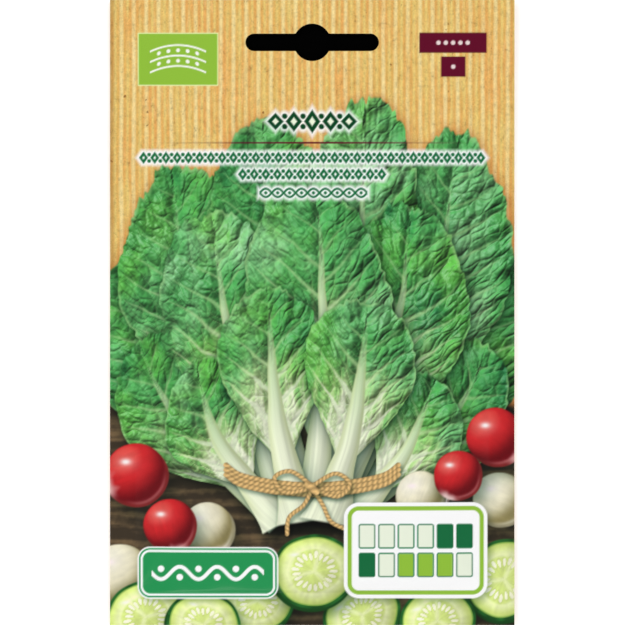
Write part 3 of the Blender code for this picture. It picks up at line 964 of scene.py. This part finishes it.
def tie(page):
    """Three turns of twine round the bunch, which bend away behind it at both sides, and a bow."""
    for k in range(3):
        y = KNOT[1] + 1.5 - 1.15 * k
        half = ((0, y - 0.7), (6, y - 0.4), (12, y + 0.4), (17.5, y + 1.8), (20.6, y + 4.0))
        turn = [(-x, height) for x, height in reversed(half)] + list(half[1:])
        twine(page, turn, 0.62, k)
    for k, line in enumerate(BOW):
        twine(page, np.add(line, KNOT), 0.5, 7 + 2 * k)
    twine(page, np.add(((-0.9, 0.8), (0.9, -0.8)), KNOT), 0.9, 17)


def picture(page):
    """The front's print, from the back to the front: a board, a tied bunch of broad leaves, the brown glow
    that they throw on the bare kraft, round roots and slices at the foot, and then the ornaments, panels
    and bars."""
    board(page)
    for leaves, seed, splay, lift, stalk, pale, stalk_width in LEAF_ROWS:
        for k, (tip, bend, half_width, tone) in enumerate(leaves):
            base = (FOOT_OF_BUNCH[0] + splay * tip[0], FOOT_OF_BUNCH[1] + lift)
            leaf(page, base, tip, bend, half_width, seed + 70 * k, tone, stalk, pale, stalk_width)
    tie(page)
    page.shade = 1 - (1 - page.shade) * (1 - 0.8 * page.blur(page.cover, 1.3))
    for k, (centre, radius, root, skin) in enumerate(ROOTS):
        root_ball(page, centre, radius, 150 + 11 * k, root, skin)
    for k, (centre, radius, squash, turned) in enumerate(SLICES):
        cut_slice(page, centre, radius, k, squash, turned)
    headpiece(page, (0.0, 45.8), 22.0, 5.5)
    rule(page, (-0.4, 40.68), 74.0)
    border_line(page, (0.0, 37.1), 83.6, 2.8, 2.7)
    border_line(page, (0.0, 33.1), 36.1, 2.8, 2.7)
    braid_line(page, (0.3, 28.65), 25.7, 2.5)
    furrow_panel(page, (-32.18, 60.73), (18.77, 12.15))
    code_bar(page, (33.78, 64.7), (16.1, 4.78), 5)
    code_bar(page, (33.83, 58.96), (5.84, 4.8), 1)
    scroll_banner(page, (-25.0, -62.4), (33.7, 12.5))
    month_panel(page, (24.8, -57.0), (34.4, 23.0))


def sowing_rows(page, centre, size, rows, seed):
    """Ruled rows: thin green dashes out to a random length, each row led by a lime dot."""
    mark = Mark(page, centre, size)
    pitch = size[1] / rows
    row = np.clip(np.floor((mark.y + size[1] / 2) / pitch), 0, rows - 1).astype(int)
    reach = np.random.RandomState(seed).uniform(0.72, 1.0, rows)[row] * size[0]
    local = mark.y + size[1] / 2 - (row + 0.5) * pitch
    along = mark.x + size[0] / 2
    dash = 1.9 + 0.9 * np.sin(2.3 * row + 1.7 * np.floor(along / 5.6)) - np.abs(repeated(along, 5.6))
    line = np.minimum(0.36 - np.abs(local), np.minimum(dash, np.minimum(along - 3.5, reach - along)))
    mark.ink(line, "border", 0.8)
    mark.ink(0.75 - np.hypot(along - 0.8, local), "lime")


def back_print(page):
    """The back's print: a pale panel with ruled rows, a calendar and a maroon foot."""
    panel = Mark(page, (0, 14), (80, 66))
    whole = box_in(panel.x, panel.y, (80, 66), 3.0)
    panel.ink(whole, "border")
    panel.ink(whole - 0.5, PALE_PANEL)
    head = Mark(page, (0, 41), (70, 6))
    head.ink(box_in(head.x, head.y, (70, 6), 1.2), "badge")
    head.ink(np.where(np.abs(head.x) < 30, wave_in(head.x, head.y, 1.2, 5.0, 0.4), OUTSIDE), WHITE)
    for k, y in enumerate((28.5, 12.5, -5.5)):
        sowing_rows(page, (0, y), (68, 13.5), 4, 31 + k)
    month_panel(page, (0, -36), (60, 24))
    code_bar(page, (0, -58), (80, 5), 9)
    headpiece(page, (0, 53.5), 22.0, 5.0)


def node(tree, kind, *inputs, **values):
    """A shader node. Inputs feed its first sockets; values set its properties or feed its sockets by name."""
    made = tree.nodes.new(kind)
    for key, value in values.items():
        if key in made.inputs:
            feed(tree, made.inputs[key], value)
        else:
            setattr(made, key, value)
    for socket, source in zip(made.inputs, inputs):
        feed(tree, socket, source)
    return made


def feed(tree, socket, source):
    """Links a socket to its source, or sets it to a plain value."""
    if isinstance(source, bpy.types.NodeSocket):
        tree.links.new(source, socket)
    else:
        socket.default_value = source


def fill(tree, shader, values):
    """Feeds a shader's sockets by name."""
    for name, value in values.items():
        feed(tree, shader.inputs[name], value)


def maths(tree, operation, *inputs):
    """A Math node's result."""
    return node(tree, "ShaderNodeMath", *inputs, operation=operation).outputs[0]


def ramp(tree, value, low, high):
    """Value brought smoothly from 0 at low to 1 at high."""
    made = node(tree, "ShaderNodeMapRange", value, low, high, 0.0, 1.0, interpolation_type="SMOOTHSTEP")
    return made.outputs[0]


def blend_colour(tree, share, first, second):
    """A Mix node's colour, of sockets or display colours."""
    made = node(tree, "ShaderNodeMix", share, data_type="RGBA")
    for socket, source in ((made.inputs[6], first), (made.inputs[7], second)):
        if not isinstance(source, bpy.types.NodeSocket):
            source = (*linear(source), 1.0)
        feed(tree, socket, source)
    return made.outputs[2]


def linear(colour):
    """Display colour to scene-linear light."""
    c = unit(np.asarray(colour, float))
    return np.where(c <= 0.04045, c / 12.92, ((c + 0.055) / 1.055) ** 2.4)


def grain(tree, place, scale, stretch=EVEN, detail=2.0, rough=0.5):
    """Noise on coordinates in millimetres, scaled to its size and stretched along each axis."""
    spread = node(tree, "ShaderNodeVectorMath", place, stretch, operation="MULTIPLY").outputs[0]
    made = node(tree, "ShaderNodeTexNoise", Vector=spread, Scale=scale, Detail=detail, Roughness=rough)
    return made.outputs[0]


def in_millimetres(tree):
    """Object coordinates in millimetres."""
    place = node(tree, "ShaderNodeTexCoord").outputs["Object"]
    return node(tree, "ShaderNodeVectorMath", place, (1 / MM,) * 3, operation="MULTIPLY").outputs[0]


def scaled(tree, vector, factor):
    """A vector or colour times a number."""
    return node(tree, "ShaderNodeVectorMath", vector, operation="SCALE", Scale=factor).outputs[0]


def product(tree, first, *others):
    """The product of several numbers."""
    for other in others:
        first = maths(tree, "MULTIPLY", first, other)
    return first


RIB_PERIOD = 2.988
RIB_SHIFT = -45.77


def share_of(tree, value, low, high, most):
    """Value brought smoothly from 0 at low to the most at high."""
    return product(tree, ramp(tree, value, low, high), most)


def kraft(tree, place):
    """Ribbed kraft paper. A broad pale line runs up every 3 mm, with broken orange streaks beside it and
    straw in the middle between two lines, stronger in some bands than in others. Patches, upright fibres,
    brown smudges, fine grit and bark specks lie over it, and a painted shade darkens it towards the two
    cut sides, more on the left than on the right."""
    c = inks()
    x = node(tree, "ShaderNodeSeparateXYZ", place).outputs[0]
    sway = maths(tree, "MULTIPLY_ADD", grain(tree, place, 0.05), 0.6, -0.3)
    count = maths(tree, "DIVIDE", maths(tree, "ADD", maths(tree, "SUBTRACT", x, RIB_SHIFT), sway), RIB_PERIOD)
    away = maths(tree, "ABSOLUTE", maths(tree, "SUBTRACT", count, maths(tree, "ROUND", count)))
    band = node(tree, "ShaderNodeTexWhiteNoise", noise_dimensions="1D", W=maths(tree, "FLOOR", count))
    strong = maths(tree, "MULTIPLY_ADD", band.outputs[0], 0.6, 0.35)
    broken = grain(tree, place, 0.45, (1.0, 0.16, 1.0), 4.0, 0.6)
    patch = grain(tree, place, 0.2, (1.0, 0.3, 1.0), 3.0)
    upright = grain(tree, place, 1.7, (1.0, 0.09, 1.0), 4.0, 0.65)
    smudge = grain(tree, place, 0.9, (1.0, 0.6, 1.0), 3.0, 0.7)
    beside = product(tree, ramp(tree, away, 0.10, 0.24), ramp(tree, away, 0.5, 0.28))
    beside = product(tree, beside, ramp(tree, broken, 0.7, 0.38), strong)
    line = product(tree, ramp(tree, away, 0.25, 0.04), ramp(tree, broken, 0.1, 0.6), 0.82)
    layers = (
        (beside, c.rust),
        (share_of(tree, patch, 0.5, 0.7, 0.6), c.rust),
        (share_of(tree, patch, 0.48, 0.3, 0.5), c.straw),
        (line, c.cream),
        (share_of(tree, upright, 0.5, 0.72, 0.28), c.cream),
        (share_of(tree, upright, 0.5, 0.28, 0.3), c.rust),
        (share_of(tree, smudge, 0.58, 0.8, 0.4), c.speck_and_edge_shade),
    )
    colour = blend_colour(tree, ramp(tree, away, 0.25, 0.5), c.tan, c.straw)
    for share, tint in layers:
        colour = blend_colour(tree, share, colour, tint)
    grit = maths(tree, "ADD", grain(tree, place, 2.4, EVEN, 3.0, 0.8), smudge)
    colour = scaled(tree, colour, node(tree, "ShaderNodeMapRange", grit, 0.6, 1.4, 1.28, 0.76).outputs[0])
    swirl = node(tree, "ShaderNodeTexNoise", Vector=place, Scale=1.6, Detail=2.0).outputs["Color"]
    bent = node(tree, "ShaderNodeVectorMath", swirl, (0.9,) * 3, place, operation="MULTIPLY_ADD").outputs[0]
    for scale, widest, strength in ((0.36, 0.17, 0.85), (1.1, 0.22, 0.5)):
        dots = node(tree, "ShaderNodeTexVoronoi", Vector=bent, Scale=scale, Randomness=1.0)
        size = node(tree, "ShaderNodeSeparateColor", dots.outputs["Color"]).outputs[0]
        size = product(tree, maths(tree, "POWER", size, 2.0), widest)
        dot = share_of(tree, dots.outputs["Distance"], size, product(tree, size, 0.3), strength)
        colour = blend_colour(tree, dot, colour, c.speck_and_edge_shade)
    # Painted shade: over about 1.8 mm the kraft darkens towards each cut side in the speck colour, more on
    # the left than on the right.
    for side, strength in ((-WIDTH / 2 / MM, 0.42), (WIDTH / 2 / MM, 0.14)):
        cut = share_of(tree, x, 0.963 * side, side, strength)
        colour = blend_colour(tree, cut, colour, c.speck_and_edge_shade)
    return colour, upright


TOOTH_HEIGHT = 0.04 * MM
SHADED_KRAFT = (0.70, 0.40, 0.19)
LAMINATE = {"Coat Weight": 0.45, "Coat Roughness": 0.2, "Coat IOR": 1.45}
FLOOR_GLOW = 0.28


def new_material(name):
    """An empty material with its shader and output joined, and its coordinates in millimetres."""
    material = bpy.data.materials.new(name)
    material.use_nodes = True
    tree = material.node_tree
    tree.nodes.clear()
    shader = node(tree, "ShaderNodeBsdfPrincipled")
    node(tree, "ShaderNodeOutputMaterial", shader.outputs[0])
    return material, tree, shader, in_millimetres(tree)


def paper_feel(tree, shader, place, fibres, low, high, bump):
    """Roughness that varies with the fibres, and a fine bump of the paper's tooth."""
    tooth = maths(tree, "ADD", grain(tree, place, 3.0, EVEN, 4.0, 0.6), fibres)
    rough = node(tree, "ShaderNodeMapRange", fibres, 0.3, 0.7, low, high).outputs[0]
    bumped = node(tree, "ShaderNodeBump", Strength=bump, Distance=TOOTH_HEIGHT, Height=tooth).outputs[0]
    fill(tree, shader, {"Roughness": rough, "Specular IOR Level": 0.1, "Normal": bumped})


def printed_material(name, low, high, bump):
    """Printed kraft: the ribbed paper, shaded beside the picture, with the print's ink over it."""
    material, tree, shader, place = new_material(name)
    paper, fibres = kraft(tree, place)
    shade = node(tree, "ShaderNodeAttribute", attribute_name="shade").outputs["Fac"]
    paper = blend_colour(tree, product(tree, shade, 0.85), paper, SHADED_KRAFT)
    print_ink = node(tree, "ShaderNodeAttribute", attribute_name="ink").outputs
    left = scaled(tree, paper, maths(tree, "SUBTRACT", 1.0, print_ink["Alpha"]))
    total = node(tree, "ShaderNodeVectorMath", left, print_ink["Color"], operation="ADD")
    paper_feel(tree, shader, place, fibres, low, high, bump)
    fill(tree, shader, {"Base Color": total.outputs[0], **LAMINATE})
    return material


def dry_material(name, scale, rough, span, colours, feel):
    """A dry fibrous surface of two colours, with the feel of paper."""
    material, tree, shader, place = new_material(name)
    fibres = grain(tree, place, scale, EVEN, 4.0, rough)
    fill(tree, shader, {"Base Color": blend_colour(tree, ramp(tree, fibres, *span), *colours)})
    paper_feel(tree, shader, place, fibres, *feel)
    return material


def stage_material(name, scale, greys, values):
    """A nearly even grey for the stage, with a trace of tooth."""
    material, tree, shader, place = new_material(name)
    tooth = grain(tree, place, scale, EVEN, 3.0)
    colour = blend_colour(tree, tooth, *((grey,) * 3 for grey in greys))
    fill(tree, shader, {"Base Color": colour, **values})
    return material


def liner_material():
    """Pale inner film side and cut edge of the paper."""
    colours = ((0.80, 0.70, 0.52), (0.92, 0.86, 0.72))
    return dry_material("paper_core", 4.0, 0.6, (0.3, 0.7), colours, (0.6, 0.8, 0.3))


def seed_material():
    """Dry seed coats: brown, each streaked and flecked darker."""
    colours = ((0.42, 0.31, 0.19), (0.72, 0.60, 0.42))
    return dry_material("seed_coat", 1.4, 0.65, (0.35, 0.65), colours, (0.5, 0.75, 0.6))


def floor_material():
    """A white light table: matt, with the faintest grain, and glowing a little so that shadows stay soft."""
    glow = {"Emission Color": (*WHITE, 1.0), "Emission Strength": FLOOR_GLOW}
    return stage_material("studio_board", 0.4, (0.965, 0.98), {"Roughness": 0.9, **glow})


def card_material():
    """The near-black card that shows through the hang slot, with a trace of tooth."""
    return stage_material("slot_card", 2.0, (0.005, 0.02), {"Roughness": 1.0, "Specular IOR Level": 0.0})


def sampled(field, page, plan):
    """A field of the page at points of the plan, read between its grid points."""
    xs, ys = page.x[0], page.y[:, 0]
    fx = np.clip((plan[:, 0] / MM - xs[0]) / (xs[1] - xs[0]), 0, len(xs) - 1.001)
    fy = np.clip((plan[:, 1] / MM - ys[0]) / (ys[1] - ys[0]), 0, len(ys) - 1.001)
    i, j = fx.astype(int), fy.astype(int)
    u, v = fx - i, fy - j
    if field.ndim == 3:
        u, v = u[:, None], v[:, None]
    low = field[j, i] * (1 - u) + field[j, i + 1] * u
    high = field[j + 1, i] * (1 - u) + field[j + 1, i + 1] * u
    return low * (1 - v) + high * v


def lay_ink(piece, page, plan):
    """Puts the page's ink and shade on a piece's show side as attributes. The ink is premultiplied by its
    cover."""
    mesh = piece.data
    count = len(mesh.vertices)
    cover = sampled(page.cover, page, plan)
    colour = linear(sampled(page.ink, page, plan) / np.maximum(cover, 1e-4)[:, None]) * cover[:, None]
    values = np.zeros((count, 4), np.float32)
    values[: len(plan), :3] = colour
    values[: len(plan), 3] = cover
    mesh.attributes.new("ink", "FLOAT_COLOR", "POINT").data.foreach_set("color", values.ravel())
    shade = np.zeros(count, np.float32)
    shade[: len(plan)] = sampled(page.shade, page, plan)
    mesh.attributes.new("shade", "FLOAT", "POINT").data.foreach_set("value", shade)


def slot_box(xs, ys):
    """Grid lines of the box round the slot, on even lines, so that the coarse side shares them."""
    s = shape()
    middle = HEIGHT / 2 - s.slot_drop
    reach_x, reach_y = s.slot_width / 2 + SLOT_ROOM_X, s.slot_radius + SLOT_ROOM_Y
    i = np.searchsorted(xs, (-reach_x, reach_x)) // 2 * 2
    j = np.searchsorted(ys, (middle - reach_y, middle + reach_y)) // 2 * 2
    return int(i[0]), int(i[1]), int(j[0]), int(j[1])


class PACKET_OT_front(bpy.types.Operator):
    """Makes the printed front web, in tiles that meet edge to edge, with the hang slot cut through"""

    bl_idname = "packet.front"
    bl_label = "Front web"

    def execute(self, context):
        s = shape()
        rows = int(round(s.cells * HEIGHT / WIDTH / (2 * s.tiles))) * s.tiles * 2
        xs = np.linspace(-WIDTH / 2, WIDTH / 2, 2 * s.cells + 1)
        ys = np.linspace(-HEIGHT / 2, HEIGHT / 2, 2 * rows + 1)
        page = Print(xs, ys)
        picture(page)
        liner = liner_material()
        materials = [printed_material("printed_kraft", 0.42, 0.56, 0.25), liner]
        step = 2 * rows // s.tiles
        for k in range(s.tiles):
            lines = ys[k * step : (k + 1) * step + 1]
            hole = slot_box(xs, lines) if k == s.tiles - 1 else None
            name = f"front_web_{k + 1}"
            piece, plan = slab(name, xs, lines, front_over, front_under, True, hole, materials)
            lay_ink(piece, page, plan)
            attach(piece, "root")
            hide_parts("front_panel")
        return {"FINISHED"}


class PACKET_OT_back(bpy.types.Operator):
    """Makes the printed back web, flat under the pocket, with the same slot"""

    bl_idname = "packet.back"
    bl_label = "Back web"

    def execute(self, context):
        s = shape()
        across = int(s.cells * BACK_SHARE)
        along = int(across * HEIGHT / WIDTH)
        xs = np.linspace(-WIDTH / 2, WIDTH / 2, 2 * across + 1)
        ys = np.linspace(-HEIGHT / 2, HEIGHT / 2, 2 * along + 1)
        page = Print(xs, ys)
        back_print(page)
        materials = [printed_material("kraft_back", 0.5, 0.64, 0.3), liner_material()]
        piece, plan = slab("back_web", xs, ys, back_under, back_over, False, slot_box(xs, ys), materials)
        lay_ink(piece, page, plan * (-1, 1))
        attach(piece, "root")
        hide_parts("back_panel")
        return {"FINISHED"}


class PACKET_OT_seeds(bpy.types.Operator):
    """Gives the heap of seeds in the pocket its seed coats"""

    bl_idname = "packet.seeds"
    bl_label = "Seeds"

    def execute(self, context):
        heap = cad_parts["seeds"]
        heap.data.materials.clear()
        heap.data.materials.append(seed_material())
        return {"FINISHED"}


SOFT_BOXES = 6
RING_RADIUS = 0.85
RING_HEIGHT = 0.6
BOX_SIZE = 0.42
BOX_POWER = 2.04
KEY_SHARE = 0.2
KEY_ANGLE = math.radians(150)
OVERHEAD_LIGHT = 0.08
LOW_LIGHT = 0.52
FLOOR_HALF = 3.0
FLOOR_DROP = 0.05 * MM
CARD_LIFT = 0.02 * MM
CARD_MARGIN = 3 * MM
CARD_HALF_HEIGHT = 8 * MM
CAMERA_LENS = 200.0
CAMERA_SENSOR = 36.0
CAMERA_ASIDE = 0.07 * MM
FRAMED_HEIGHT = HEIGHT - 0.1 * MM
PRINT_LEVEL = 1.0 * MM


def soft_box(k):
    """One of a ring of soft boxes that point at the packet, the brighter the nearer to the upper left."""
    angle = 2 * math.pi * (k + 0.2) / SOFT_BOXES
    data = bpy.data.lights.new(f"soft_box_{k + 1}", "AREA")
    data.size = BOX_SIZE
    data.energy = BOX_POWER * (1 + KEY_SHARE * math.cos(angle - KEY_ANGLE))
    lamp = bpy.data.objects.new(data.name, data)
    place = Vector((RING_RADIUS * math.cos(angle), RING_RADIUS * math.sin(angle), RING_HEIGHT))
    lamp.location = place
    lamp.rotation_euler = (-place).to_track_quat("-Z", "Y").to_euler()
    bpy.context.scene.collection.objects.link(lamp)


def flat_square(name, half_x, half_y, centre_y, height, material):
    """A level rectangle for the stage."""
    turns = ((-1, -1), (1, -1), (1, 1), (-1, 1))
    mesh = bpy.data.meshes.new(name)
    mesh.from_pydata([(i * half_x, centre_y + j * half_y, height) for i, j in turns], [], [(0, 1, 2, 3)])
    mesh.materials.append(material)
    thing = bpy.data.objects.new(name, mesh)
    bpy.context.scene.collection.objects.link(thing)


def studio_world():
    """Soft light from all round that is dim overhead, so that the print stays deep, and bright lower down."""
    world = bpy.data.worlds.new("studio")
    world.use_nodes = True
    tree = world.node_tree
    towards = node(tree, "ShaderNodeTexCoord").outputs["Generated"]
    height = node(tree, "ShaderNodeSeparateXYZ", towards).outputs[2]
    span = (height, 0.95, 0.6, OVERHEAD_LIGHT, LOW_LIGHT)
    glow = node(tree, "ShaderNodeMapRange", *span, interpolation_type="SMOOTHSTEP").outputs[0]
    fill(tree, tree.nodes["Background"], {"Color": (*WHITE, 1.0), "Strength": glow})
    return world


class PACKET_OT_stage(bpy.types.Operator):
    """Sets out the white board, the soft light and the camera that looks straight down"""

    bl_idname = "packet.stage"
    bl_label = "Stage"

    def execute(self, context):
        scene = context.scene
        s = shape()
        flat_square("floor", FLOOR_HALF, FLOOR_HALF, 0, -FLOOR_DROP, floor_material())
        card_half, card_y = s.slot_width / 2 + CARD_MARGIN, HEIGHT / 2 - s.slot_drop
        flat_square("slot_card", card_half, CARD_HALF_HEIGHT, card_y, CARD_LIFT, card_material())
        for k in range(SOFT_BOXES):
            soft_box(k)
        scene.world = studio_world()
        scene.view_settings.view_transform = "Standard"
        data = bpy.data.cameras.new("camera")
        data.lens = CAMERA_LENS
        data.sensor_width = CAMERA_SENSOR
        camera = bpy.data.objects.new("camera", data)
        away = FRAMED_HEIGHT * data.lens / data.sensor_width
        camera.location = (CAMERA_ASIDE, 0.0, away + PRINT_LEVEL)
        scene.collection.objects.link(camera)
        scene.camera = camera
        return {"FINISHED"}


class PACKET_PT_panel(bpy.types.Panel):
    """Lists the packet's pieces"""

    bl_idname = "PACKET_PT_panel"
    bl_label = "Seed packet"
    bl_space_type = "VIEW_3D"
    bl_region_type = "UI"
    bl_category = "Packet"

    def draw(self, context):
        for operator in OPERATORS:
            self.layout.operator(operator.bl_idname)


OPERATORS = (PACKET_OT_front, PACKET_OT_back, PACKET_OT_seeds, PACKET_OT_stage)
CLASSES = (PacketShape, PacketInks, *OPERATORS, PACKET_PT_panel)


def register():
    for each in CLASSES:
        bpy.utils.register_class(each)
    bpy.types.Scene.packet_shape = PointerProperty(type=PacketShape)
    bpy.types.Scene.packet_inks = PointerProperty(type=PacketInks)


def unregister():
    del bpy.types.Scene.packet_inks
    del bpy.types.Scene.packet_shape
    for each in reversed(CLASSES):
        bpy.utils.unregister_class(each)


def main():
    """Makes every piece."""
    register()
    bpy.ops.packet.front()
    bpy.ops.packet.back()
    bpy.ops.packet.seeds()
    bpy.ops.packet.stage()


if __name__ == "__main__":
    main()
